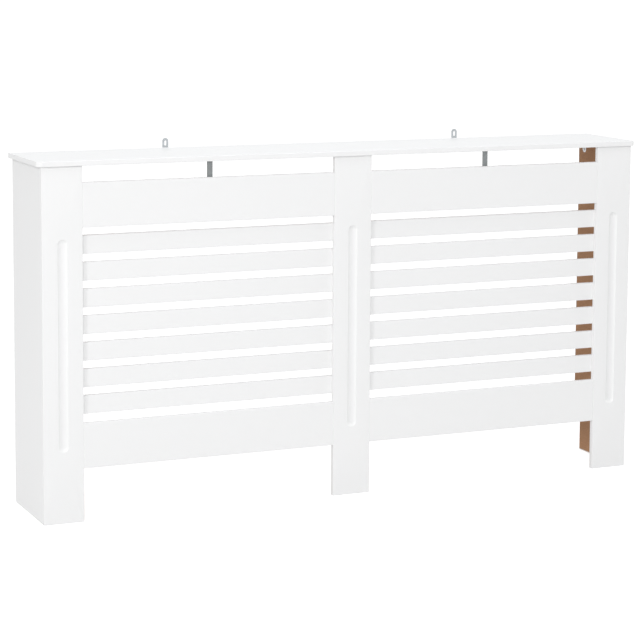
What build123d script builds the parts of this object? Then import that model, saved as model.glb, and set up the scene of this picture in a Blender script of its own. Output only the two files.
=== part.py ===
"""Radiator cover cabinet: a slatted front between three fluted stiles, two side panels and a shelf.

Frame, in millimetres: +X to the right, +Y towards the wall, +Z up. The origin is on the floor,
midway along the cabinet and midway between the shelf's front edge and the wall.
"""

import math
import os

from build123d import *

# Overall sizes
shelf_length = 1520.0
shelf_thickness = 12.0
shelf_side_overhang = 10.0
shelf_front_overhang = 6.0
shelf_corner_cut = 10.0
body_depth = 230.0
body_height = 802.0

# Boards of the body
stile_width = 94.0
frame_thickness = 12.0
side_thickness = 12.0
arris = 0.8

# Front frame, measured up from the floor and down from the shelf
foot_gap = 122.0
bottom_rail_height = 103.0
top_rail_height = 101.0
air_gap = 37.0

# Slats, lapped on the back of the stiles
slat_count = 7
slat_height = 42.0
slat_thickness = 12.0
slat_lap = 22.0

# Round-bottomed flute in each stile, stopped short of both ends
flute_width = 23.0
flute_depth = 4.0
flute_end_margin = 162.0

# Skirting notch at the foot of the right panel's back edge
skirting_depth = 30.0
skirting_height = 120.0

# Angle brackets from the top rails to the shelf
strap_width = 13.0
strap_thickness = 2.0
strap_drop = 84.0
strap_reach = 40.0
strap_hole_end = 10.0
strap_hole_pitch = 20.0

# Angle brackets from the shelf to the wall, with a slotted ear above the shelf
ear_width = 14.6
ear_thickness = 2.0
ear_rise = 22.0
ear_reach = 34.0
ear_slot_width = 5.0
ear_slot_length = 12.0
ear_slot_start = 4.0
ear_hole_end = 8.0
ear_hole_pitch = 16.0
ear_spacing = 760.0

# Cam locks and their bolts
cam_diameter = 15.0
cam_thickness = 9.8
cam_rim_diameter = 17.0
cam_rim_thickness = 0.6
cam_set_back = 25.0
cam_play = 0.1
bolt_thread_diameter = 6.0
bolt_bite = 9.0
bolt_shank_diameter = 4.5
bolt_head_diameter = 6.2
bolt_head_length = 4.0
shelf_cam_front_inset = 72.0
shelf_cam_back_inset = 28.0
panel_cam_end_inset = 150.0

# Wooden dowels
dowel_diameter = 6.0
rail_dowel_length = 30.0
rail_dowel_inset = 25.0
short_dowel_length = 20.0
short_dowel_bite = 8.0
shelf_dowel_spacing = 50.0
panel_dowel_end_inset = 60.0

# Screws
slat_screw_length = 20.0
slat_screw_diameter = 3.5
slat_screw_head = 7.0
bracket_screw_grip = 9.0
bracket_screw_diameter = 3.5
bracket_screw_head = 7.0
bracket_screw_crown = 4.8
bracket_screw_head_height = 2.2

# Flat sides on each round fastener and on the hole that takes it
fastener_sides = 8
cam_sides = 12

# Clearances
hole_play = 0.05
hole_end_gap = 0.5
bracket_hole_play = 0.3

# Places that follow from the sizes above
body_half = shelf_length / 2 - shelf_side_overhang
overall_depth = shelf_front_overhang + body_depth + ear_thickness
y_shelf_front = -overall_depth / 2
y_front = y_shelf_front + shelf_front_overhang
y_frame_back = y_front + frame_thickness
y_back = y_front + body_depth
y_frame_middle = y_front + frame_thickness / 2
z_shelf_top = body_height + shelf_thickness
top_rail_top = body_height - air_gap
top_rail_bottom = top_rail_top - top_rail_height
bottom_rail_top = foot_gap + bottom_rail_height
x_outer_stile = body_half - stile_width / 2
x_outer_joint = body_half - stile_width
x_inner_joint = stile_width / 2
x_bay_middle = (x_outer_joint + x_inner_joint) / 2
x_panel_middle = body_half - side_thickness / 2
x_panel_inside = body_half - side_thickness
slat_gap = (top_rail_bottom - bottom_rail_top - slat_count * slat_height) / (slat_count + 1)
sides = {"left": -1, "right": 1}

UP = (0, 0, 1)
DOWN = (0, 0, -1)
TO_WALL = (0, 1, 0)
TO_ROOM = (0, -1, 0)


# Basic shapes

def block(x0, x1, y0, y1, z0, z1):
    """A rectangular block between two corners."""
    centre = ((x0 + x1) / 2, (y0 + y1) / 2, (z0 + z1) / 2)
    return Pos(*centre) * Box(abs(x1 - x0), abs(y1 - y0), abs(z1 - z0))


def eased(board):
    """A board with all its sharp edges broken."""
    return chamfer(board.edges(), arris)


def drum(start, direction, diameter, length):
    """A round drum that begins at a point and runs along a direction."""
    along = Plane(origin=start, z_dir=direction)
    return along * Cylinder(diameter / 2, length, align=(Align.CENTER, Align.CENTER, Align.MIN))


def rod(start, direction, diameter, length, sides=fastener_sides):
    """A fastener's rod or hole: it begins at a point and has a few flat sides within the diameter."""
    along = Plane(origin=start, z_dir=direction)
    return along * extrude(RegularPolygon(diameter / 2, sides), length)


def taper(start, direction, diameter, end_diameter, length):
    """A rod that narrows evenly along its length."""
    along = Plane(origin=start, z_dir=direction)
    ends = [RegularPolygon(diameter / 2, fastener_sides)]
    ends.append(Pos(0, 0, length) * RegularPolygon(end_diameter / 2, fastener_sides))
    return along * loft(ends, ruled=True)


def moved(point, direction, distance):
    """A point moved along a direction."""
    return tuple(p + distance * d for p, d in zip(point, direction))


def drilled(board, holes):
    """A board with a list of holes taken out."""
    return board - holes if holes else board


# Dowels

def rail_dowel(joint, direction, play=0.0, end_gap=0.0):
    """A dowel centred on the joint of a rail and a stile, or the hole that takes it."""
    half = rail_dowel_length / 2 + end_gap
    return rod(moved(joint, direction, -half), direction, dowel_diameter + 2 * play, 2 * half)


def short_dowel(joint, into, play=0.0, end_gap=0.0):
    """A dowel that bites a short way into a board's face, or the hole that takes it."""
    start = moved(joint, into, short_dowel_bite - short_dowel_length - end_gap)
    return rod(start, into, dowel_diameter + 2 * play, short_dowel_length + 2 * end_gap)


def rail_joints(side, low, high, x_joint):
    """The dowel centres where one end of a rail meets a stile."""
    heights = (low + rail_dowel_inset, high - rail_dowel_inset)
    return [(side * x_joint, y_frame_middle, z) for z in heights]


def rails_at(side, x_joint):
    """The dowel centres of both rails of a bay on one stile edge."""
    bottom = rail_joints(side, foot_gap, bottom_rail_top, x_joint)
    return bottom + rail_joints(side, top_rail_bottom, top_rail_top, x_joint)


def shelf_dowel_joints(x_stile):
    """The dowel centres on a stile's top end."""
    offsets = (-shelf_dowel_spacing / 2, shelf_dowel_spacing / 2)
    return [(x_stile + dx, y_frame_middle, body_height) for dx in offsets]


def panel_dowel_joints(side):
    """The dowel centres where a side panel meets its stile."""
    heights = (panel_dowel_end_inset, body_height / 2, body_height - panel_dowel_end_inset)
    return [(side * x_panel_middle, y_frame_back, z) for z in heights]


def rail_dowel_holes(joints):
    return [rail_dowel(joint, (1, 0, 0), hole_play, hole_end_gap) for joint in joints]


def short_dowel_holes(joints, into):
    return [short_dowel(joint, into, hole_play, hole_end_gap) for joint in joints]


# Cam locks

def shelf_cam_joints(side):
    """Where the bolts of a side panel's cam locks enter the shelf."""
    insets = (y_front + shelf_cam_front_inset, y_back - shelf_cam_back_inset)
    return [(side * x_panel_middle, y, body_height) for y in insets]


def stile_cam_joints(side):
    """Where the bolts of a side panel's cam locks enter the stile."""
    heights = (panel_cam_end_inset, body_height - panel_cam_end_inset)
    return [(side * x_panel_middle, y_frame_back, z) for z in heights]


def panel_cam_joints(side):
    """Every cam joint of a side panel, with the way its bolt points."""
    to_shelf = [(joint, UP) for joint in shelf_cam_joints(side)]
    return to_shelf + [(joint, TO_ROOM) for joint in stile_cam_joints(side)]


def cam_bolt(joint, into):
    """A bolt threaded into one board, with its head held in the cam of the other."""
    thread = rod(joint, into, bolt_thread_diameter, bolt_bite)
    back = tuple(-d for d in into)
    neck_length = cam_set_back - bolt_head_length / 2
    neck = rod(joint, back, bolt_shank_diameter, neck_length)
    head = rod(moved(joint, back, neck_length), back, bolt_head_diameter, bolt_head_length)
    return thread + neck + head


def bolt_way(joint, into):
    """The bore along the board's edge that the bolt passes through, as far as the cam's middle."""
    back = tuple(-d for d in into)
    length = cam_set_back + bolt_head_length / 2 + hole_end_gap
    return rod(joint, back, bolt_head_diameter + 2 * cam_play, length)


def thread_hole(joint, into):
    """The blind hole that the bolt's thread bites into."""
    return rod(joint, into, bolt_thread_diameter + 2 * hole_play, bolt_bite + hole_end_gap)


def cam_mouth(side, joint, into):
    """The middle of a cam on the panel's inner face."""
    centre = moved(joint, into, -cam_set_back)
    return (side * x_panel_inside, centre[1], centre[2])


def cam_barrel(side, joint, into, play=0.0):
    """A cam's drum, let into the panel's inner face, or the pocket that takes it."""
    mouth = cam_mouth(side, joint, into)
    return rod(mouth, (side, 0, 0), cam_diameter + 2 * play, cam_thickness + play, cam_sides)


def cam_lock(side, joint, into):
    """A cam: its drum, the rim that covers the pocket's edge and the bore for the bolt's head."""
    mouth = cam_mouth(side, joint, into)
    rim = rod(mouth, (-side, 0, 0), cam_rim_diameter, cam_rim_thickness, cam_sides)
    return cam_barrel(side, joint, into) + rim - bolt_way(joint, into)


# Screws

def countersunk_screw(mouth, into, play=0.0):
    """A countersunk screw flush with a surface, or the hole that takes it."""
    depth = (slat_screw_head - slat_screw_diameter) / 2
    head = taper(mouth, into, slat_screw_head + 2 * play, slat_screw_diameter + 2 * play, depth)
    length = slat_screw_length + (hole_end_gap if play else 0.0)
    return head + rod(mouth, into, slat_screw_diameter + 2 * play, length)


def bracket_screw(seat, into, leg_thickness):
    """A pan-head screw through a bracket's leg: seat is on the board's face, under the leg."""
    under_head = moved(seat, into, -leg_thickness)
    back = tuple(-d for d in into)
    shank = rod(under_head, into, bracket_screw_diameter, leg_thickness + bracket_screw_grip)
    head = taper(under_head, back, bracket_screw_head, bracket_screw_crown, bracket_screw_head_height)
    return head + shank


def pilot_hole(seat, into):
    """The hole in a board for a bracket screw."""
    length = bracket_screw_grip + hole_end_gap
    return rod(seat, into, bracket_screw_diameter + 2 * hole_play, length)


def leg_hole(seat, into, leg_thickness):
    """The clearance hole in a bracket's leg."""
    diameter = bracket_screw_diameter + 2 * bracket_hole_play
    return rod(moved(seat, into, -leg_thickness), into, diameter, leg_thickness)


def slat_bands():
    """The lower and upper edge of each slat, from the top one down."""
    tops = [top_rail_bottom - slat_gap - i * (slat_height + slat_gap) for i in range(slat_count)]
    return [(top - slat_height, top) for top in tops]


def slat_screw_mouths(side, x_joint, towards_stile):
    """Where the screws of one column enter the slats' backs; the column is midway across the lap."""
    x = side * (x_joint + towards_stile * slat_lap / 2)
    y = y_frame_back + slat_thickness
    return [(x, y, (low + high) / 2) for low, high in slat_bands()]


def bay_screw_mouths(side):
    """The screws at both ends of one bay's slats, outer column first."""
    outer = slat_screw_mouths(side, x_outer_joint, 1)
    return outer + slat_screw_mouths(side, x_inner_joint, -1)


def strap_rail_seats(side):
    """Where a strap's screws enter the back of the top rail."""
    first = body_height - strap_drop + strap_hole_end
    heights = (first, first + strap_hole_pitch)
    return [(side * x_bay_middle, y_frame_back, z) for z in heights]


def strap_shelf_seats(side):
    """Where a strap's screws enter the underside of the shelf."""
    last = y_frame_back + strap_reach - strap_hole_end
    return [(side * x_bay_middle, y, body_height) for y in (last, last - strap_hole_pitch)]


def ear_shelf_seats(side):
    """Where a wall bracket's screws enter the underside of the shelf."""
    first = y_back - ear_reach + ear_hole_end
    return [(side * ear_spacing / 2, y, body_height) for y in (first, first + ear_hole_pitch)]


# Boards

def flute():
    """The cutter's sweep: a horizontal drum with a ball at each end, standing out of the face."""
    radius = ((flute_width / 2) ** 2 + flute_depth ** 2) / (2 * flute_depth)
    run_out = math.sqrt(radius ** 2 - (radius - flute_depth) ** 2)
    y = y_front - (radius - flute_depth)
    low = flute_end_margin + run_out
    high = body_height - flute_end_margin - run_out
    ends = [Pos(0, y, z) * Sphere(radius) for z in (low, high)]
    return drum((0, y, low), UP, 2 * radius, high - low) + ends


def stile(x, holes):
    """An upright front board with its flute and the holes that are bored into it."""
    half = stile_width / 2
    board = eased(block(x - half, x + half, y_front, y_frame_back, 0, body_height))
    top_holes = short_dowel_holes(shelf_dowel_joints(x), UP)
    return drilled(board - Pos(x, 0, 0) * flute(), holes + top_holes)


def outer_stile(side):
    holes = rail_dowel_holes(rails_at(side, x_outer_joint))
    holes += short_dowel_holes(panel_dowel_joints(side), TO_ROOM)
    holes += [thread_hole(joint, TO_ROOM) for joint in stile_cam_joints(side)]
    mouths = slat_screw_mouths(side, x_outer_joint, 1)
    holes += [countersunk_screw(mouth, TO_ROOM, hole_play) for mouth in mouths]
    return stile(side * x_outer_stile, holes)


def middle_stile():
    holes = []
    for side in sides.values():
        holes += rail_dowel_holes(rails_at(side, x_inner_joint))
        mouths = slat_screw_mouths(side, x_inner_joint, -1)
        holes += [countersunk_screw(mouth, TO_ROOM, hole_play) for mouth in mouths]
    return stile(0, holes)


def rail(side, low, high, extra_holes):
    """A rail butted between two stiles."""
    board = eased(block(side * x_inner_joint, side * x_outer_joint, y_front, y_frame_back, low, high))
    joints = rail_joints(side, low, high, x_inner_joint) + rail_joints(side, low, high, x_outer_joint)
    return drilled(board, rail_dowel_holes(joints) + extra_holes)


def top_rail(side):
    pilots = [pilot_hole(seat, TO_ROOM) for seat in strap_rail_seats(side)]
    return rail(side, top_rail_bottom, top_rail_top, pilots)


def bottom_rail(side):
    return rail(side, foot_gap, bottom_rail_top, [])


def slat(side, index):
    """A slat that laps on the backs of the stiles at both ends."""
    low, high = slat_bands()[index]
    x_inner = side * (x_inner_joint - slat_lap)
    x_outer = side * (x_outer_joint + slat_lap)
    board = eased(block(x_inner, x_outer, y_frame_back, y_frame_back + slat_thickness, low, high))
    mouths = [bay_screw_mouths(side)[index], bay_screw_mouths(side)[index + slat_count]]
    return drilled(board, [countersunk_screw(mouth, TO_ROOM, hole_play) for mouth in mouths])


def side_panel(side, notched):
    """A side board behind its stile, bored for dowels, bolts and cams."""
    x_inside = side * x_panel_inside
    x_outside = side * body_half
    board = block(x_inside, x_outside, y_frame_back, y_back, 0, body_height)
    if notched:
        board -= block(x_inside, x_outside, y_back - skirting_depth, y_back, 0, skirting_height)
    holes = short_dowel_holes(panel_dowel_joints(side), TO_ROOM)
    for joint, into in panel_cam_joints(side):
        holes.append(cam_barrel(side, joint, into, cam_play))
        holes.append(bolt_way(joint, into))
    return drilled(eased(board), holes)


def top_shelf():
    """The shelf, with its front corners cut off and its underside bored."""
    half = shelf_length / 2
    board = block(-half, half, y_shelf_front, y_back, body_height, z_shelf_top)
    corners = board.edges().filter_by(Axis.Z).sort_by(Axis.Y)[:2]
    board = eased(chamfer(corners, shelf_corner_cut))
    holes = []
    for x in (-x_outer_stile, 0, x_outer_stile):
        holes += short_dowel_holes(shelf_dowel_joints(x), UP)
    for side in sides.values():
        holes += [thread_hole(joint, UP) for joint in shelf_cam_joints(side)]
        seats = strap_shelf_seats(side) + ear_shelf_seats(side)
        holes += [pilot_hole(seat, UP) for seat in seats]
    return drilled(board, holes)


# Brackets

def rail_bracket(side):
    """An angle of flat strap: one leg down the rail's back, one leg back under the shelf."""
    x = side * x_bay_middle
    edges = (x - strap_width / 2, x + strap_width / 2)
    y_inside = y_frame_back + strap_thickness
    drop = block(*edges, y_frame_back, y_inside, body_height - strap_drop, body_height)
    reach = block(*edges, y_frame_back, y_frame_back + strap_reach, body_height - strap_thickness, body_height)
    angle = drop + reach
    corner = angle.edges().filter_by(Axis.X).sort_by_distance((x, y_frame_back, body_height))[0]
    angle = fillet(corner, strap_thickness)
    holes = [leg_hole(seat, TO_ROOM, strap_thickness) for seat in strap_rail_seats(side)]
    holes += [leg_hole(seat, UP, strap_thickness) for seat in strap_shelf_seats(side)]
    return drilled(angle, holes)


def wall_bracket(side):
    """An angle of flat strap: one leg under the shelf, one leg up its back edge with a slotted ear."""
    x = side * ear_spacing / 2
    half = ear_width / 2
    z_end = z_shelf_top + ear_rise
    y_wall = y_back + ear_thickness
    reach = block(x - half, x + half, y_back - ear_reach, y_wall, body_height - ear_thickness, body_height)
    rise = block(x - half, x + half, y_back, y_wall, body_height - ear_thickness, z_end - half)
    round_end = drum((x, y_back, z_end - half), TO_WALL, ear_width, ear_thickness)
    angle = reach + rise + round_end
    heel = (x, y_wall, body_height - ear_thickness)
    corner = angle.edges().filter_by(Axis.X).sort_by_distance(heel)[0]
    angle = fillet(corner, ear_thickness)
    low = z_shelf_top + ear_slot_start + ear_slot_width / 2
    high = low + ear_slot_length - ear_slot_width
    slot = block(x - ear_slot_width / 2, x + ear_slot_width / 2, y_back, y_wall, low, high)
    slot += [drum((x, y_back, z), TO_WALL, ear_slot_width, ear_thickness) for z in (low, high)]
    holes = [leg_hole(seat, UP, ear_thickness) for seat in ear_shelf_seats(side)]
    return drilled(angle - slot, holes)


# Groups of like fasteners

def group(solids):
    """Separate solids kept together in one node."""
    return Compound([solid for shape in solids for solid in shape.solids()])


def rail_dowels():
    joints = []
    for side in sides.values():
        joints += rails_at(side, x_inner_joint) + rails_at(side, x_outer_joint)
    return group(rail_dowel(joint, (1, 0, 0)) for joint in joints)


def shelf_dowels():
    places = (-x_outer_stile, 0, x_outer_stile)
    return group(short_dowel(joint, UP) for x in places for joint in shelf_dowel_joints(x))


def panel_dowels():
    return group(short_dowel(joint, TO_ROOM) for side in sides.values() for joint in panel_dowel_joints(side))


def cam_locks():
    return group(cam_lock(side, *joint) for side in sides.values() for joint in panel_cam_joints(side))


def cam_bolts():
    return group(cam_bolt(*joint) for side in sides.values() for joint in panel_cam_joints(side))


def slat_screws():
    mouths = [mouth for side in sides.values() for mouth in bay_screw_mouths(side)]
    return group(countersunk_screw(mouth, TO_ROOM) for mouth in mouths)


def rail_bracket_screws():
    screws = []
    for side in sides.values():
        screws += [bracket_screw(seat, TO_ROOM, strap_thickness) for seat in strap_rail_seats(side)]
        screws += [bracket_screw(seat, UP, strap_thickness) for seat in strap_shelf_seats(side)]
    return group(screws)


def wall_bracket_screws():
    seats = [seat for side in sides.values() for seat in ear_shelf_seats(side)]
    return group(bracket_screw(seat, UP, ear_thickness) for seat in seats)


def nodes():
    """Every node of the cabinet by name."""
    made = {
        "top_shelf": top_shelf(),
        "left_side_panel": side_panel(sides["left"], notched=False),
        "right_side_panel": side_panel(sides["right"], notched=True),
        "middle_stile": middle_stile(),
        "rail_dowels": rail_dowels(),
        "shelf_dowels": shelf_dowels(),
        "panel_dowels": panel_dowels(),
        "cam_locks": cam_locks(),
        "cam_bolts": cam_bolts(),
        "slat_screws": slat_screws(),
        "rail_bracket_screws": rail_bracket_screws(),
        "wall_bracket_screws": wall_bracket_screws(),
    }
    for name, side in sides.items():
        made[f"{name}_stile"] = outer_stile(side)
        made[f"{name}_top_rail"] = top_rail(side)
        made[f"{name}_bottom_rail"] = bottom_rail(side)
        made[f"{name}_rail_bracket"] = rail_bracket(side)
        made[f"{name}_wall_bracket"] = wall_bracket(side)
        for index in range(slat_count):
            made[f"{name}_slat_{index + 1}"] = slat(side, index)
    return made


os.makedirs("parts", exist_ok=True)
for node, shape in nodes().items():
    export_step(shape, f"parts/{node}.step")
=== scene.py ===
"""Radiator cover cabinet: finishes, fittings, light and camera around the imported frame.

Metres, in the frame's own axes: +X to the right, +Y towards the wall, +Z up, the floor at z = 0. The stiles
and fittings are worked out in millimetres and become metres as their surfaces are made.
"""

import math
from types import SimpleNamespace

import bmesh
import bpy
import numpy as np
from mathutils import Matrix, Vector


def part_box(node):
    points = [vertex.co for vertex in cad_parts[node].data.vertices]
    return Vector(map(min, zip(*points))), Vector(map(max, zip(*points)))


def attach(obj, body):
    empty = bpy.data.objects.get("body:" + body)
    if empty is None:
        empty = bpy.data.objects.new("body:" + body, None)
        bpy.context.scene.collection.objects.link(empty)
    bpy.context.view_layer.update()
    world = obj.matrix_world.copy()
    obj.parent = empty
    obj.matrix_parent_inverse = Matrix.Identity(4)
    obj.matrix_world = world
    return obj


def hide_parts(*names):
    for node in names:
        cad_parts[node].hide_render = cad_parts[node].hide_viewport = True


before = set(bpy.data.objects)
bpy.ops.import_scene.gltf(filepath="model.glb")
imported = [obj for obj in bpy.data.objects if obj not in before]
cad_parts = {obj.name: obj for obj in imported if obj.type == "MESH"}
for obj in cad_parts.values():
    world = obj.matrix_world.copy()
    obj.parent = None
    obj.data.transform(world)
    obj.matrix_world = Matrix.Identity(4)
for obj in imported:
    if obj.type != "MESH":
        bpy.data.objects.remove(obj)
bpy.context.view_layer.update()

MM = 0.001
X, Y, Z = np.eye(3)
SIDES = (-1, 1)
QUARTER_TURN = math.pi / 2
TINY = 1e-9

# Colours, linear
WHITE = (1.0, 1.0, 1.0)
LACQUER = (0.865, 0.865, 0.865)
BOARD = (0.595, 0.345, 0.196)
BOARD_DARK = (0.41, 0.22, 0.118)
BOARD_PALE = (0.72, 0.475, 0.30)
BEECH = (0.60, 0.42, 0.24)

# Patterns: scale to the metre, detail, roughness and, where they are drawn out, the scale along each axis
TINT = (2.3, 2, 0.5)
PEEL = (420, 2, 0.5)
NAP = (1500, 2, 0.6)
FLECKS = (1100, 3, 0.65, (1, 1, 0.45))
STRANDS = (1500, 4, 0.7, (0.35, 1, 1))
CLOUDS = (14, 4, 0.6)
MIST = (45, 4, 0.6)
PORES = (1400, 3, 0.6, (0.25, 1, 0.25))

# Lacquered and raw board: roughness, relief in metres, and spray mist in from the rim of a raw side
LACQUER_ROUGHNESS = 0.36
RAW_EXTRA_ROUGHNESS = 0.42
BOARD_RELIEF = 0.06 * MM
MIST_REACH = 2.5 * MM
MIST_SOFTNESS = 1.5 * MM

BEECH_ROUGHNESS = 0.6
BEECH_RELIEF = 0.05 * MM

# Plated metals: linear colour, spangles to the metre, roughness, relief in metres and metallic share
METALS = {
    "zinc_steel": ((0.57, 0.60, 0.62), 260, 0.36, 0.01 * MM, 1.0),
    # The straps' zinc: the same zinc as above made darker, painted shade from the shelf over them
    "zinc_steel_strap_painted_shade": ((0.265, 0.281, 0.285), 260, 0.46, 0.01 * MM, 0.75),
    "screw_steel": ((0.60, 0.60, 0.58), 900, 0.34, 0.01 * MM, 1.0),
    "cam_alloy": ((0.66, 0.67, 0.68), 1200, 0.38, 0.02 * MM, 1.0),
}

# The side of each board that faces the radiator and stays raw, as (axis, sign); the shelf has none
RAW_SIDE = (1, 1)
OTHER_RAW_SIDES = {"top_shelf": None, "left_side_panel": (0, 1), "right_side_panel": (0, -1)}

# Stiles, in millimetres
ARRIS = 0.8
FLUTE_WIDTH = 23.0
FLUTE_DEPTH = 4.0
FLUTE_LIP = 0.5
FLUTE_END = 162.0

# How finely a stile is divided: rays to an end, at a corner and up its sides, then rings of each curve
END_RAYS, CORNER_RAYS, SIDE_RAYS = 15, 7, 10
BOWL_RINGS, LIP_RINGS, ARRIS_RINGS = 15, 6, 6

# Rays of a cross recess: over half the end of an arm, and from one arm to the next
ARM_RAYS, BETWEEN_RAYS = 3, 9

# Surfaces: how close points merge, in metres, and the angle beyond which an edge is sharp
MERGE = 1e-6
SLIVER = 1e-7
SHARP_ANGLE = math.radians(32)

# Places of the fittings, in millimetres: screws in from the stiles' edges and along the brackets' legs, cams
# and dowels in from the ends of their boards and from the joint
METAL_THICKNESS = 2
SLAT_SCREW_INSET = 11
STRAP_HOLES = (10, 30)
EAR_HOLES = (8, 24)
SHELF_CAM_FRONT, SHELF_CAM_BACK = 72, 28
STILE_CAM_END = 150
CAM_SET_BACK = 25
RAIL_DOWEL_INSET = 25
SHELF_DOWEL_SIDE = 25
PANEL_DOWEL_END = 60

# Dowels, in millimetres; a short one's middle lies outside the board's face that it bites
RAIL_DOWEL_LENGTH = 30
SHORT_DOWEL_LENGTH = 20
SHORT_DOWEL_OUTSIDE = 2
DOWEL_RADIUS, DOWEL_TIP_RADIUS, DOWEL_CHAMFER = 3.0, 2.2, 1.4
DOWEL_RAYS, DOWEL_GROOVES, GROOVE_SHARE = 72, 18, 0.07

# Lamps: name, place, the point it faces, width in metres, watts and colour
LAMPS = [
    ("key", (-3.6, -6.9, 3.2), (0.0, 0.0, 0.4), 1.2, 166.0, WHITE),
    ("left", (-6.2, -4.9, 3.6), (0.0, 0.0, 0.4), 1.4, 130.0, WHITE),
    ("right", (7.6, -1.6, 2.0), (0.0, 0.0, 0.4), 3.0, 84.0, WHITE),
    ("above", (0.0, -0.2, 3.4), (0.0, 0.0, 0.5), 3.0, 30.0, (0.93, 0.968, 1.0)),
]

# How strongly the white air lights the part, the floor's tone, what its sight gains, and half its width
AIR = 0.595
FLOOR_TONE = 0.70
FLOOR_LIFT = 0.70
FLOOR_HALF = 60.0

# Camera, fitted to the photograph's edges: metres, degrees and the photograph's pixels, the sensor's width in
# millimetres and the shift as a share of it
CAMERA_PLACE = (-2.09987, -4.69108, 1.28563)
YAW, PITCH, ROLL = 23.76, 6.44, -0.34
FOCAL_PIXELS, WIDTH_PIXELS = 2180.81, 640
SENSOR_WIDTH = 36.0
SHIFT = -0.2
CLIP_START, CLIP_END = 0.1, 300


# Shader nodes

class Link:
    """A socket of a finish. Python's operators on it add Math nodes."""

    def __init__(self, finish, socket):
        self.finish, self.socket = finish, socket

    def math(self, operation, *values):
        return self.finish.node("Math", {"operation": operation}, dict(enumerate(values)))

    def __add__(self, other):
        return self.math("ADD", self, other)

    def __radd__(self, other):
        return self.math("ADD", other, self)

    def __sub__(self, other):
        return self.math("SUBTRACT", self, other)

    def __rsub__(self, other):
        return self.math("SUBTRACT", other, self)

    def __mul__(self, other):
        return self.math("MULTIPLY", self, other)

    def __rmul__(self, other):
        return self.math("MULTIPLY", other, self)

    def least(self, other):
        return self.math("MINIMUM", self, other)

    def most(self, other):
        return self.math("MAXIMUM", self, other)

    def rise(self, start, end):
        """0 below start, 1 above end and a smooth step between them."""
        settings = {"interpolation_type": "SMOOTHSTEP"}
        return self.finish.node("MapRange", settings, {0: self, 1: start, 2: end}, "Result")

    def beside(self, names):
        """Outputs by name of the node that this one comes from."""
        return [Link(self.finish, self.socket.node.outputs[name]) for name in names]


class Finish:
    """A material's nodes. node() adds any node: its settings first, then its sockets."""

    def __init__(self, name, tree=None):
        self.material = None
        if tree is None:
            self.material = bpy.data.materials.new(name)
            self.material.use_nodes = True
            tree = self.material.node_tree
        self.tree = tree
        self.tree.nodes.clear()

    def node(self, kind, settings=None, sockets=None, output=0):
        made = self.tree.nodes.new(f"ShaderNode{kind}")
        for key, value in (settings or {}).items():
            setattr(made, key, value)
        for key, value in (sockets or {}).items():
            if isinstance(value, Link):
                self.tree.links.new(value.socket, made.inputs[key])
            elif isinstance(value, tuple) and len(value) == 3 and made.inputs[key].type == "RGBA":
                made.inputs[key].default_value = (*value, 1.0)
            else:
                made.inputs[key].default_value = value
        return Link(self, made.outputs[output]) if made.outputs else None

    def place(self, output="Object"):
        return self.node("TexCoord", output=output)

    def parts(self, vector):
        return self.node("SeparateXYZ", sockets={0: vector}).beside("XYZ")

    def noise(self, vector, scale, detail, roughness, stretch=(1, 1, 1)):
        """Noise from about 0 to 1, at scale times stretch to the metre along each axis."""
        moved = self.node("Mapping", {"vector_type": "POINT"}, {"Vector": vector, "Scale": stretch})
        sockets = {"Vector": moved, "Scale": scale, "Detail": detail, "Roughness": roughness}
        return self.node("TexNoise", sockets=sockets)

    def mix(self, factor, low, high):
        """A colour between two colours."""
        return self.node("Mix", {"data_type": "RGBA"}, {0: factor, 6: low, 7: high}, output=2)

    def shade(self, color, roughness, height, relief, metallic=0.0):
        """The surface shader: height in 0..1 raises the surface by up to relief in metres."""
        bump = self.node("Bump", sockets={"Strength": 1.0, "Distance": relief, "Height": height})
        sockets = {"Base Color": color, "Roughness": roughness, "Metallic": metallic, "Normal": bump}
        surface = self.node("BsdfPrincipled", sockets=sockets)
        self.node("OutputMaterial", sockets={"Surface": surface})
        return self.material


def darker(color, share):
    return tuple(part * share for part in color)


# Finishes

def board_finish(node, raw_side):
    """White lacquer with an orange peel. A raw side (axis, sign) is brown fibre board with a misty rim."""
    finish = Finish(f"white_lacquer_{node}")
    place = finish.place()
    peel = finish.noise(place, *PEEL)
    nap = finish.noise(place, *NAP)
    color = finish.mix(finish.noise(place, *TINT), darker(LACQUER, 0.985), LACQUER)
    roughness = LACQUER_ROUGHNESS + 0.08 * peel
    height = 0.07 * peel + 0.02 * nap
    if raw_side:
        bare = bare_share(finish, place, node, *raw_side)
        flecks = finish.noise(place, *FLECKS)
        strands = finish.noise(place, *STRANDS)
        clouds = finish.noise(place, *CLOUDS)
        fibre = finish.mix(flecks.rise(0.30, 0.70), BOARD_DARK, BOARD)
        fibre = finish.mix(strands.rise(0.55, 0.75) * 0.5, fibre, BOARD_PALE)
        fibre = finish.mix(clouds.rise(0.35, 0.75) * 0.18, fibre, BOARD_DARK)
        color = finish.mix(bare, color, fibre)
        roughness = roughness + bare * (RAW_EXTRA_ROUGHNESS + 0.08 * flecks)
        height = height + bare * (0.6 * flecks + 0.35 * strands)
    return finish.shade(color, roughness, height, BOARD_RELIEF)


def bare_share(finish, place, node, axis, sign):
    """1 on the raw side of a board, fading to 0 through spray mist at its rim, and 0 elsewhere."""
    towards = sign * finish.parts(finish.place("Normal"))[axis]
    points = finish.parts(place)
    low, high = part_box(node)
    first, second = [(points[i] - low[i]).least(high[i] - points[i]) for i in range(3) if i != axis]
    reach = MIST_REACH * 2 * finish.noise(place, *MIST)
    inside = first.least(second).rise(reach - MIST_SOFTNESS, reach + MIST_SOFTNESS)
    return towards.rise(0.80, 0.95) * inside


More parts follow.
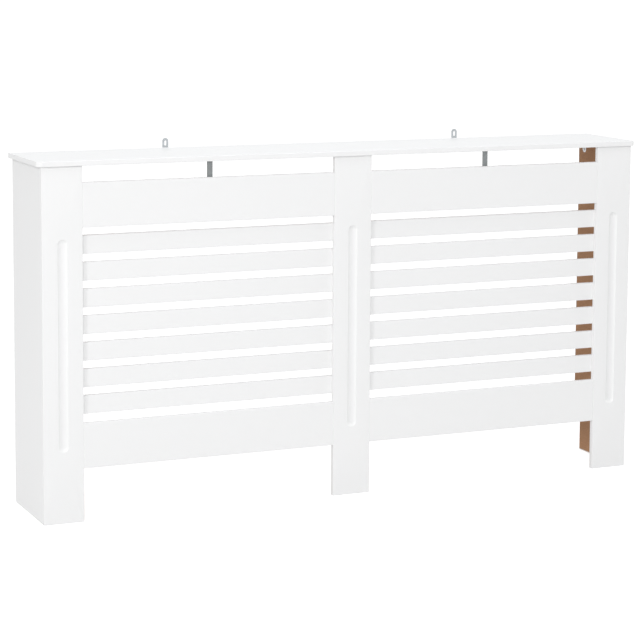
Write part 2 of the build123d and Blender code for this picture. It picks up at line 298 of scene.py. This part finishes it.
def metal_finish(name):
    """Plated metal in faint spangles, whose roughness goes from 0.06 below the metal's to 0.09 above it."""
    color, spangles, roughness, relief, metallic = METALS[name]
    finish = Finish(name)
    place = finish.place()
    spangle = finish.node("TexVoronoi", {"feature": "F1"}, {"Vector": place, "Scale": spangles}, "Color")
    cell = finish.parts(spangle)[0]
    fine = finish.noise(place, spangles * 6, 3, 0.6)
    tone = finish.mix(cell * 0.5 + fine * 0.5, darker(color, 0.80), color)
    return finish.shade(tone, roughness - 0.06 + cell * 0.07 + fine * 0.08, fine, relief, metallic)


def beech_finish():
    """Turned beech: pale brown with short dark pores along the grain."""
    finish = Finish("beech")
    pores = finish.noise(finish.place(), *PORES)
    color = finish.mix(pores.rise(0.35, 0.6), darker(BEECH, 0.72), BEECH)
    return finish.shade(color, BEECH_ROUGHNESS + pores * 0.1, pores, BEECH_RELIEF)


def dress_boards():
    """Gives every board its finish and each bracket its plating; the rail brackets' zinc is darker, painted
    shade from the shelf. Stiles and fittings are replaced instead.
    """
    zinc = metal_finish("zinc_steel")
    strap = metal_finish("zinc_steel_strap_painted_shade")
    for name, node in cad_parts.items():
        kind = name.split("_")[-1]
        if kind == "bracket":
            # Rail brackets take the darkened zinc: painted shade under the shelf
            node.data.materials[0] = strap if "rail" in name else zinc
        elif kind in ("shelf", "panel", "rail") or kind.isdigit():
            node.data.materials[0] = board_finish(name, OTHER_RAW_SIDES.get(name, RAW_SIDE))


# Surfaces

def added(name, data):
    """A new object of the scene with this data."""
    made = bpy.data.objects.new(name, data)
    bpy.context.scene.collection.objects.link(made)
    return made


def span(node):
    """A node's lowest and highest corners, in millimetres."""
    low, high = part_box(node)
    return np.array(low) / MM, np.array(high) / MM


def ring_surface(rings):
    """A surface through closed rings of points, in millimetres: its points in metres, and its faces.

    rings[k, i] is point i of ring k. Face (k, i) joins the points i and i + 1 of the rings k and k + 1, and
    the last point of a ring comes before its first.
    """
    turns, count = rings.shape[:2]
    start = np.arange(turns - 1)[:, None] * count
    here = np.arange(count)[None, :]
    there = (here + 1) % count
    faces = np.stack([start + here, start + there, start + count + there, start + count + here], -1)
    return rings.reshape(-1, 3) * MM, faces.reshape(-1, 4)


def set_of(name, shapes, slot, finish, *nodes):
    """One piece made of several closed shapes, in place of the frame's own nodes."""
    points, faces, offset = [], [], 0
    for shape_points, shape_faces in shapes:
        points.append(shape_points)
        faces.append(shape_faces + offset)
        offset += len(shape_points)
    mesh = bpy.data.meshes.new(name)
    mesh.from_pydata(np.concatenate(points), [], np.concatenate(faces))
    mesh.materials.append(finish)
    piece = added(name, mesh)
    tidy_mesh(mesh)
    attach(piece, "root")
    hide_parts(*nodes)


def tidy_mesh(mesh):
    """Merges each end ring to a point, shades the mesh smoothly and keeps its sharp edges."""
    work = bmesh.new()
    work.from_mesh(mesh)
    bmesh.ops.remove_doubles(work, verts=work.verts, dist=MERGE)
    bmesh.ops.dissolve_degenerate(work, edges=work.edges, dist=SLIVER)
    bmesh.ops.recalc_face_normals(work, faces=work.faces)
    work.to_mesh(mesh)
    work.free()
    mesh.shade_smooth()
    mesh.set_sharp_from_angle(angle=SHARP_ANGLE)


# Stiles

def outline_rays(half_width, low, high, flute_low, flute_high):
    """Rays from the flute's middle line to the rim of a stile's face, all the way round.

    A row holds a ray's start (x, z) on the middle line, its unit direction, the point where it meets the rim
    and the rim's own outward direction. At the angle a from the side, a ray's length is the lesser of
    w / cos a and h / sin a, where w is the half width and h is how far the rim's end lies beyond its start.
    At each corner the outward direction turns through a quarter circle while the ray stands still.
    """
    def quarter(start, rim_end):
        reach = rim_end - start
        corner = math.atan2(abs(reach), half_width)
        turn = np.linspace(0, QUARTER_TURN, CORNER_RAYS)
        to_side = np.linspace(0, corner, END_RAYS)[:-1]
        to_end = np.linspace(corner, QUARTER_TURN, END_RAYS)[1:]
        angles = np.concatenate([to_side, np.full(CORNER_RAYS, corner), to_end])
        outward = np.concatenate([np.zeros(len(to_side)), turn, np.full(len(to_end), QUARTER_TURN)])
        sign = math.copysign(1, reach)
        cos, sin = np.cos(angles), np.sin(angles)
        length = np.minimum(half_width / np.maximum(cos, TINY), abs(reach) / np.maximum(sin, TINY))
        return np.stack([np.zeros_like(angles), np.full_like(angles, start),
                         cos, sign * sin,
                         cos * length, start + sign * sin * length,
                         np.cos(outward), sign * np.sin(outward)], 1)

    top, bottom = quarter(flute_high, high), quarter(flute_low, low)
    rise = np.linspace(flute_low, flute_high, SIDE_RAYS)[1:-1]
    flat = np.zeros_like(rise)
    middle = np.stack([flat, rise, flat + 1, flat, flat + half_width, rise, flat + 1, flat], 1)
    right = np.concatenate([bottom[::-1], middle, top])
    left = right[::-1][1:-1] * np.array([1, 1, -1, 1, -1, 1, -1, 1])
    return np.concatenate([right, left])


def fluted_stile(node):
    """A stile as one closed surface in rings round its flute's middle line.

    The flute's section is an arc of radius R that meets the face at the angle a = 2 atan(2 depth / width),
    with R + lip = width / (2 sin a), and an arc of radius lip rolls it over into the face. The arrises are
    quarter circles.
    """
    low, high = span(node)
    middle, half = (low[0] + high[0]) / 2, (high[0] - low[0]) / 2
    front, back = low[1], high[1]
    rays = outline_rays(half - ARRIS, low[2] + ARRIS, high[2] - ARRIS, FLUTE_END + FLUTE_WIDTH / 2,
                        high[2] - FLUTE_END - FLUTE_WIDTH / 2)
    start, ray, rim, outward = rays[:, 0:2], rays[:, 2:4], rays[:, 4:6], rays[:, 6:8]

    steep = 2 * math.atan(2 * FLUTE_DEPTH / FLUTE_WIDTH)
    radius = FLUTE_WIDTH / 2 / math.sin(steep) - FLUTE_LIP
    t = np.linspace(0, steep, BOWL_RINGS)[:, None, None]
    u = np.linspace(steep, 0, LIP_RINGS)[1:, None, None]
    bowl = start + radius * np.sin(t) * ray
    bowl_deep = front + FLUTE_DEPTH - radius * (1 - np.cos(t))
    lip = start + (FLUTE_WIDTH / 2 - FLUTE_LIP * np.sin(u)) * ray
    lip_deep = front + FLUTE_LIP * (1 - np.cos(u))

    v = np.linspace(0, QUARTER_TURN, ARRIS_RINGS)[:, None, None]
    near = rim + ARRIS * np.sin(v) * outward
    near_deep = front + ARRIS * (1 - np.cos(v))
    rings = np.concatenate([bowl, lip, near, near[::-1], start[None]])
    depths = np.concatenate([bowl_deep, lip_deep, near_deep, back + front - near_deep[::-1], [[[back]]]])
    depths = np.broadcast_to(depths, (*rings.shape[:2], 1))
    return ring_surface(np.concatenate([rings[..., :1] + middle, depths, rings[..., 1:]], -1))


def stiles():
    for side in ("left", "middle", "right"):
        node = f"{side}_stile"
        finish = board_finish(node, RAW_SIDE)
        set_of(f"{side}_stile_with_flute", [fluted_stile(node)], "white_lacquer", finish, node)


# Shapes of the turned fittings

def cross_angles(arm, half_width):
    """Angles round a fitting that land on every corner of its cross recess, a quarter turn at a time."""
    corner = math.atan2(half_width, arm)
    quarter = np.concatenate([np.linspace(0, corner, ARM_RAYS)[:-1],
                              np.linspace(corner, QUARTER_TURN - corner, BETWEEN_RAYS)[:-1],
                              np.linspace(QUARTER_TURN - corner, QUARTER_TURN, ARM_RAYS)[:-1]])
    return np.concatenate([quarter + turn * QUARTER_TURN for turn in range(4)])


def cross_reach(angles, arm, half_width):
    """How far a cross of two bars reaches at each angle: the further of the two bars' edges."""
    c, s = np.abs(np.cos(angles)) + TINY, np.abs(np.sin(angles)) + TINY
    return np.maximum(np.minimum(arm / c, half_width / s), np.minimum(arm / s, half_width / c))


def crossed(arm, half_width):
    """The angles of a fitting with a cross recess, and how far each kind of ring reaches at them."""
    angles = cross_angles(arm, half_width)
    return {"angles": angles, "round": np.ones_like(angles), "cross": cross_reach(angles, arm, half_width)}


def ribbed():
    """The angles of a dowel, and how far each kind of ring reaches: 1 less rounded grooves when ribbed."""
    angles = np.linspace(0, 2 * math.pi, DOWEL_RAYS + 1)[:-1]
    grooves = 1 - GROOVE_SHARE * (0.5 - 0.5 * np.cos(DOWEL_GROOVES * angles))
    return {"angles": angles, "round": np.ones_like(angles), "ribbed": grooves}


def turned(rings, reaches, place, axis):
    """A fitting from stacked rings: P(k, a) = place + h_k axis + r_k reach_k(a) (cos a u + sin a v).

    rings holds (kind, r, h); reaches holds each kind's reach over the angles. The axis is one of the frame's,
    so turning its parts round by one gives u, at right angles to it.
    """
    angles = reaches["angles"]
    axis = np.asarray(axis, float)
    u = np.array([axis[2], axis[0], axis[1]])
    v = np.cross(axis, u)
    kinds, radii, heights = zip(*rings)
    reach = np.stack([reaches[kind] for kind in kinds]) * np.array(radii)[:, None]
    round_part = reach[..., None] * (np.cos(angles)[:, None] * u + np.sin(angles)[:, None] * v)
    return ring_surface(np.asarray(place) + np.array(heights)[:, None, None] * axis + round_part)


def smooth(*stops):
    """Round rings of a fitting, given as (radius, height)."""
    return [("round", radius, height) for radius, height in stops]


def pit(height, depth_scale=1.0):
    """The rings of a cross recess that goes in from this height, narrower as they go."""
    stops = [(1.0, 0.0), (0.93, -0.25), (0.55, -1.5), (0.0, -1.9)]
    return [("cross", share, height + h * depth_scale) for share, h in stops]


def dowel_rings(length):
    """A grooved dowel with chamfered ends, centred on its middle."""
    half = length / 2
    grooved = half - DOWEL_CHAMFER
    return [*smooth((0.0, -half), (DOWEL_TIP_RADIUS, -half)), ("ribbed", DOWEL_RADIUS, -grooved),
            ("ribbed", DOWEL_RADIUS, grooved), *smooth((DOWEL_TIP_RADIUS, half), (0.0, half))]


SCREW_CROSS = crossed(2.0, 0.5)
CAM_CROSS = crossed(4.6, 1.1)
DOWEL_RIBS = ribbed()

# Sections of the fittings in millimetres, with height 0 at the face that each is let into or sits on
COUNTERSUNK = smooth((0.0, -20.0), (1.0, -18.2), (1.75, -16.5), (1.75, -2.0), (3.38, -0.30), (3.50, -0.12),
                     (3.46, 0.04), (3.3, 0.10), (2.35, 0.10)) + pit(0.10)
PAN_HEAD = smooth((0.0, -11.0), (1.0, -9.4), (1.75, -8.0), (1.75, 0.0), (3.42, 0.0), (3.50, 0.15),
                  (3.45, 0.75), (3.2, 1.35), (2.8, 1.80), (2.35, 2.08), (2.15, 2.15)) + pit(2.17)
CAM = smooth((0.0, -9.8), (7.0, -9.8), (7.5, -9.3), (7.5, 0.0), (8.3, 0.0), (8.5, 0.15), (8.45, 0.42),
             (8.2, 0.6), (7.0, 0.6), (6.7, 0.35), (5.6, 0.35)) + pit(0.35, 2.0)
BOLT = smooth((0.0, 9.0), (1.6, 9.0), (2.3, 8.2), (3.0, 7.2), (3.0, 0.4), (2.6, 0.0), (2.25, -0.4),
              (2.25, -22.6), (1.6, -23.4), (1.6, -23.9), (2.7, -24.4), (3.1, -25.2), (3.0, -26.2),
              (2.2, -27.0), (0.0, -27.0))
RAIL_DOWEL = dowel_rings(RAIL_DOWEL_LENGTH)
SHORT_DOWEL = dowel_rings(SHORT_DOWEL_LENGTH)


# Places of the turned fittings

def both(*values):
    """Each value on the left and on the right."""
    return [side * value for side in SIDES for value in values]


def right_half():
    """Where the boards and brackets of the right half lie, in millimetres. The left half mirrors them."""
    (rail_inner, front, rail_low), (rail_outer, frame_back, rail_high) = span("right_top_rail")
    (_, _, foot_low), (_, _, foot_high) = span("right_bottom_rail")
    (panel_inside, _, _), (panel_outside, back, under_shelf) = span("right_side_panel")
    (strap_left, _, strap_low), (strap_right, strap_end, _) = span("right_rail_bracket")
    (ear_left, ear_start, _), (ear_right, _, _) = span("right_wall_bracket")
    (stile_left, _, _), (stile_right, _, _) = span("right_stile")
    slats = [span(f"left_slat_{i}") for i in range(1, 8)]
    return SimpleNamespace(
        rail_inner=rail_inner, rail_outer=rail_outer, rail_low=rail_low, rail_high=rail_high,
        foot_low=foot_low, foot_high=foot_high, under_shelf=under_shelf,
        front=front, frame_middle=(front + frame_back) / 2, frame_back=frame_back, back=back,
        stile_middle=(stile_left + stile_right) / 2,
        panel_inside=panel_inside, panel_middle=(panel_inside + panel_outside) / 2,
        strap_middle=(strap_left + strap_right) / 2, strap_low=strap_low, strap_end=strap_end,
        ear_middle=(ear_left + ear_right) / 2, ear_start=ear_start,
        slat_back=slats[0][1][1], slat_middles=[(low[2] + high[2]) / 2 for low, high in slats])


def screws(at, steel):
    """Screws in the slats' ends and through the legs of the brackets."""
    columns = both(at.rail_outer + SLAT_SCREW_INSET, at.rail_inner - SLAT_SCREW_INSET)
    seats = [(x, at.slat_back, z) for x in columns for z in at.slat_middles]
    slat_screws = [turned(COUNTERSUNK, SCREW_CROSS, seat, Y) for seat in seats]

    behind_rail, under_shelf = at.frame_back + METAL_THICKNESS, at.under_shelf - METAL_THICKNESS
    rail_screws, wall_screws = [], []
    for side in SIDES:
        strap, ear = side * at.strap_middle, side * at.ear_middle
        rail_seats = [(strap, behind_rail, at.strap_low + hole) for hole in STRAP_HOLES]
        shelf_seats = [(strap, at.strap_end - hole, under_shelf) for hole in reversed(STRAP_HOLES)]
        ear_seats = [(ear, at.ear_start + hole, under_shelf) for hole in EAR_HOLES]
        rail_screws += [turned(PAN_HEAD, SCREW_CROSS, seat, Y) for seat in rail_seats]
        rail_screws += [turned(PAN_HEAD, SCREW_CROSS, seat, -Z) for seat in shelf_seats]
        wall_screws += [turned(PAN_HEAD, SCREW_CROSS, seat, -Z) for seat in ear_seats]

    set_of("crosshead_slat_screws", slat_screws, "screw_steel", steel, "slat_screws")
    set_of("crosshead_rail_bracket_screws", rail_screws, "screw_steel", steel, "rail_bracket_screws")
    set_of("crosshead_wall_bracket_screws", wall_screws, "screw_steel", steel, "wall_bracket_screws")


def cam_locks(at, steel, alloy):
    """Cams in the side panels' inner faces, and the bolts that they pull, from the shelf and the stiles."""
    cams, bolts = [], []
    for side in SIDES:
        middle = side * at.panel_middle
        depths = (at.front + SHELF_CAM_FRONT, at.back - SHELF_CAM_BACK)
        heights = (STILE_CAM_END, at.under_shelf - STILE_CAM_END)
        joints = [((middle, y, at.under_shelf), Z) for y in depths]
        joints += [((middle, at.frame_back, z), -Y) for z in heights]
        for joint, into in joints:
            centre = np.array(joint) - CAM_SET_BACK * into
            centre[0] = side * at.panel_inside
            cams.append(turned(CAM, CAM_CROSS, centre, -side * X))
            bolts.append(turned(BOLT, SCREW_CROSS, joint, into))

    set_of("cast_cams", cams, "cam_alloy", alloy, "cam_locks")
    set_of("turned_cam_bolts", bolts, "screw_steel", steel, "cam_bolts")


def dowels(at, beech):
    """Dowels from rail to stile, from stile to shelf and from side panel to stile."""
    heights = (at.foot_low + RAIL_DOWEL_INSET, at.foot_high - RAIL_DOWEL_INSET,
               at.rail_low + RAIL_DOWEL_INSET, at.rail_high - RAIL_DOWEL_INSET)
    joints = [(x, at.frame_middle, z) for x in both(at.rail_inner, at.rail_outer) for z in heights]
    rail_dowels = [turned(RAIL_DOWEL, DOWEL_RIBS, joint, X) for joint in joints]

    stile_tops = [x + dx for x in (-at.stile_middle, 0, at.stile_middle) for dx in both(SHELF_DOWEL_SIDE)]
    ends = [(x, at.frame_middle, at.under_shelf - SHORT_DOWEL_OUTSIDE) for x in stile_tops]
    shelf_dowels = [turned(SHORT_DOWEL, DOWEL_RIBS, end, Z) for end in ends]

    heights = (PANEL_DOWEL_END, at.under_shelf / 2, at.under_shelf - PANEL_DOWEL_END)
    edges = [(x, at.frame_back + SHORT_DOWEL_OUTSIDE, z) for x in both(at.panel_middle) for z in heights]
    panel_dowels = [turned(SHORT_DOWEL, DOWEL_RIBS, edge, Y) for edge in edges]

    set_of("grooved_rail_dowels", rail_dowels, "beech", beech, "rail_dowels")
    set_of("grooved_shelf_dowels", shelf_dowels, "beech", beech, "shelf_dowels")
    set_of("grooved_panel_dowels", panel_dowels, "beech", beech, "panel_dowels")


def fittings():
    """Turned screws, cams, bolts and dowels in place of the frame's plain ones."""
    at = right_half()
    steel = metal_finish("screw_steel")
    screws(at, steel)
    cam_locks(at, steel, metal_finish("cam_alloy"))
    dowels(at, beech_finish())


# Light, floor and camera

def facing(right, up, back, place):
    """The placement of a lamp or camera with these axes: it looks the other way from back."""
    turn = Matrix(np.stack([right, up, back], 1).tolist()).to_4x4()
    turn.translation = place
    return turn


def area_light(name, place, target, size, power, color):
    """A soft square lamp that faces a point."""
    lamp = bpy.data.lights.new(name, "AREA")
    lamp.shape, lamp.size, lamp.energy, lamp.color = "SQUARE", size, power, color
    back = np.array(place, float) - np.array(target, float)
    back /= np.linalg.norm(back)
    side = np.cross(Z, back)
    side /= np.linalg.norm(side)
    added(name, lamp).matrix_world = facing(side, np.cross(back, side), back, place)


def seen_rays(finish):
    """1 for rays that show the backdrop: from the camera, in gloss and through glass."""
    kinds = ("Is Camera Ray", "Is Glossy Ray", "Is Transmission Ray")
    camera_ray, glossy, through = finish.node("LightPath").beside(kinds)
    return camera_ray.most(glossy).most(through)


def studio():
    """Even white air, a floor and the lamps. Air and floor look whiter to the camera than to the part."""
    world = bpy.data.worlds.new("studio")
    world.use_nodes = True
    bpy.context.scene.world = world
    air = Finish("studio", world.node_tree)
    seen = seen_rays(air)
    glow = air.node("Background", sockets={0: WHITE, 1: seen + (1 - seen) * AIR})
    air.node("OutputWorld", sockets={0: glow})

    corners = [(x * FLOOR_HALF, y * FLOOR_HALF, 0) for x, y in ((-1, -1), (1, -1), (1, 1), (-1, 1))]
    mesh = bpy.data.meshes.new("studio_floor")
    mesh.from_pydata(corners, [], [(0, 1, 2, 3)])
    floor = added("studio_floor", mesh)
    paint = Finish("floor_paint")
    lift = paint.node("Emission", sockets={0: WHITE, 1: seen_rays(paint) * FLOOR_LIFT})
    matt = paint.node("BsdfDiffuse", sockets={0: (FLOOR_TONE, FLOOR_TONE, FLOOR_TONE)})
    paint.node("OutputMaterial", sockets={0: paint.node("AddShader", sockets={0: matt, 1: lift})})
    mesh.materials.append(paint.material)

    for lamp in LAMPS:
        area_light(*lamp)


def camera():
    """The photograph's view: from 24 degrees to the left of square on, tilted down and rolled a little."""
    yaw, pitch, roll = (math.radians(angle) for angle in (YAW, PITCH, ROLL))
    forward = np.array([math.sin(yaw) * math.cos(pitch), math.cos(yaw) * math.cos(pitch), -math.sin(pitch)])
    right = np.array([math.cos(yaw), -math.sin(yaw), 0.0])
    down = np.cross(forward, right)
    image_right = math.cos(roll) * right + math.sin(roll) * down
    image_down = -math.sin(roll) * right + math.cos(roll) * down
    data = bpy.data.cameras.new("camera")
    data.sensor_width = SENSOR_WIDTH
    data.lens = FOCAL_PIXELS / WIDTH_PIXELS * SENSOR_WIDTH
    data.shift_y = SHIFT
    data.clip_start, data.clip_end = CLIP_START, CLIP_END
    holder = added("camera", data)
    holder.matrix_world = facing(image_right, -image_down, -forward, CAMERA_PLACE)
    bpy.context.scene.camera = holder


dress_boards()
stiles()
fittings()
studio()
camera()
bpy.context.scene.view_settings.view_transform = "Standard"
